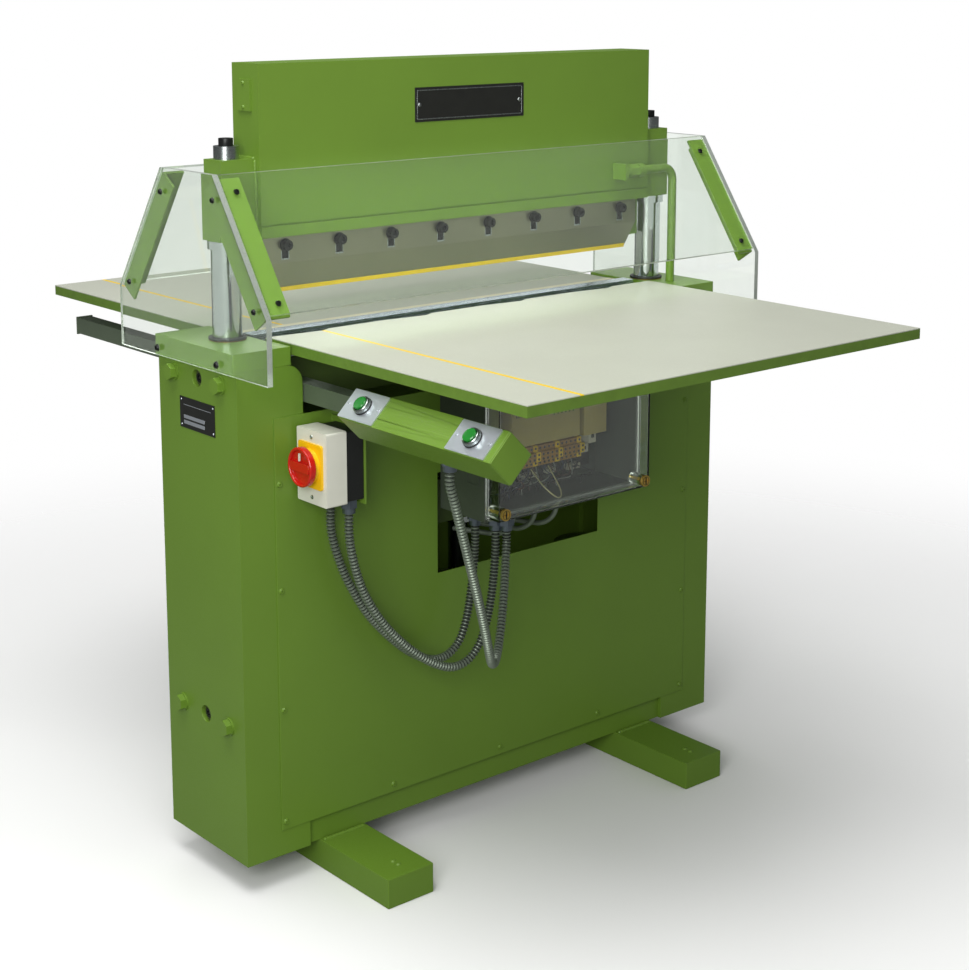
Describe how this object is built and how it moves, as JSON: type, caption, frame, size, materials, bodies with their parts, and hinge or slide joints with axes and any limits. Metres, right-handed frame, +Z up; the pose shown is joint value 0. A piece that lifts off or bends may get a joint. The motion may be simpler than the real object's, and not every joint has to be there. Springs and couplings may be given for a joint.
{
  "type": "powered straight-knife sheet cutter",
  "caption": "Green floor-standing guillotine: a knife beam on guide columns over a tall cabinet, front and rear tables, a clear guard, two-hand console and control box.",
  "frame": {"origin": "on the floor, in the middle of the outline, on the line between the two guide columns", "axes": "+X along the knife to the operator's right, +Y from the operator to the rear of the machine, +Z up"},
  "size_m": [1.096, 1.347, 1.333],
  "materials": {
    "green_paint": "semi-gloss paint, lightly orange-peeled",
    "dark_green_rod": "semi-gloss paint over a turned rod",
    "green_board": "painted board edge",
    "white_laminate": "smooth satin laminate",
    "yellow_line": "inlaid strip",
    "black_steel": "matt black paint",
    "bright_steel": "ground",
    "chromed_steel": "polished hard chrome",
    "black_screws": "black oxide",
    "bronze": "turned bearing bronze",
    "brass_screws": "turned brass",
    "cream_strip": "sawn nylon bar",
    "clear_sheet": "clear acrylic, polished",
    "black_plastic": "fine-textured",
    "grey_plastic": "fine-textured",
    "yellow_plate": "moulded",
    "red_handle": "moulded",
    "silver_plate": "brushed",
    "green_button": "moulded",
    "gland_metal": "dull plated",
    "conduit_metal": "corrugated galvanised strip",
    "lead_sheath": "smooth cable sheath",
    "controller_case": "moulded",
    "terminal_case": "moulded"
  },
  "bodies": {
    "frame": {"feet": "green_paint", "frame_bolts": "green_paint", "base_tray": "green_paint", "left_end_frame": "green_paint", "right_end_frame": "green_paint", "front_cover": "green_paint", "rear_cover": "green_paint", "cover_screws": "green_paint", "bed_blocks": "green_paint", "bed_beam": "green_paint", "guide_blocks": "bright_steel", "guide_bushes": "bronze", "lower_knife": "bright_steel", "cutting_strip": "cream_strip", "table_boards": "green_board", "table_tops": "white_laminate", "marker_strips": "yellow_line", "table_arms": "black_steel", "rails": "black_steel", "guard_side_plates": "clear_sheet", "guard_sheets": "clear_sheet", "guard_bars": "green_paint", "guard_screws": "black_screws", "switch_base": "black_plastic", "switch_cover": "grey_plastic", "switch_plate": "yellow_plate", "conduit_glands": "gland_metal", "console_body": "green_paint", "button_plates": "silver_plate", "button_collars": "chromed_steel", "box_body": "grey_plastic", "box_lid": "clear_sheet", "lid_screws": "brass_screws", "mounting_plate": "bright_steel", "controller": "controller_case", "terminals": "terminal_case", "machine_leads": "lead_sheath", "conduit_switch": "conduit_metal", "conduit_supply": "conduit_metal", "conduit_console": "conduit_metal", "drive_cylinder": "bright_steel", "oil_tank": "green_paint", "pump_motor": "green_paint", "oil_pipe": "bright_steel", "limit_switches": "black_plastic", "rating_plate": "bright_steel"},
    "ram": {"ram_beam": "green_paint", "beam_end_plates": "green_paint", "maker_plate": "bright_steel", "columns": "chromed_steel", "column_collars": "chromed_steel", "ram_screws": "black_screws", "blade": "bright_steel", "blade_strip": "yellow_line", "trip_rod": "dark_green_rod", "crosshead": "green_paint", "piston_rod": "bright_steel"},
    "handle": {"switch_handle": "red_handle"},
    "button_front": {"front_button": "green_button"},
    "button_rear": {"rear_button": "green_button"}
  },
  "joints": [
    {"name": "ram_slide", "type": "slide", "parent": "frame", "child": "ram", "axis": [0, 0, 1], "range_m": [-0.07, 0]},
    {"name": "switch_turn", "type": "hinge", "parent": "frame", "child": "handle", "pos_m": [-0.4316, -0.166, 0.714], "axis": [-1, 0, 0], "range_deg": [0, 90]},
    {"name": "front_button_press", "type": "slide", "parent": "frame", "child": "button_front", "axis": [0.7071, 0, -0.7071], "range_m": [0, 0.004], "stiffness_N_per_m": 1200, "springref_m": -0.004},
    {"name": "rear_button_press", "type": "slide", "parent": "frame", "child": "button_rear", "axis": [0.7071, 0, -0.7071], "range_m": [0, 0.004], "stiffness_N_per_m": 1200, "springref_m": -0.004}
  ]
}
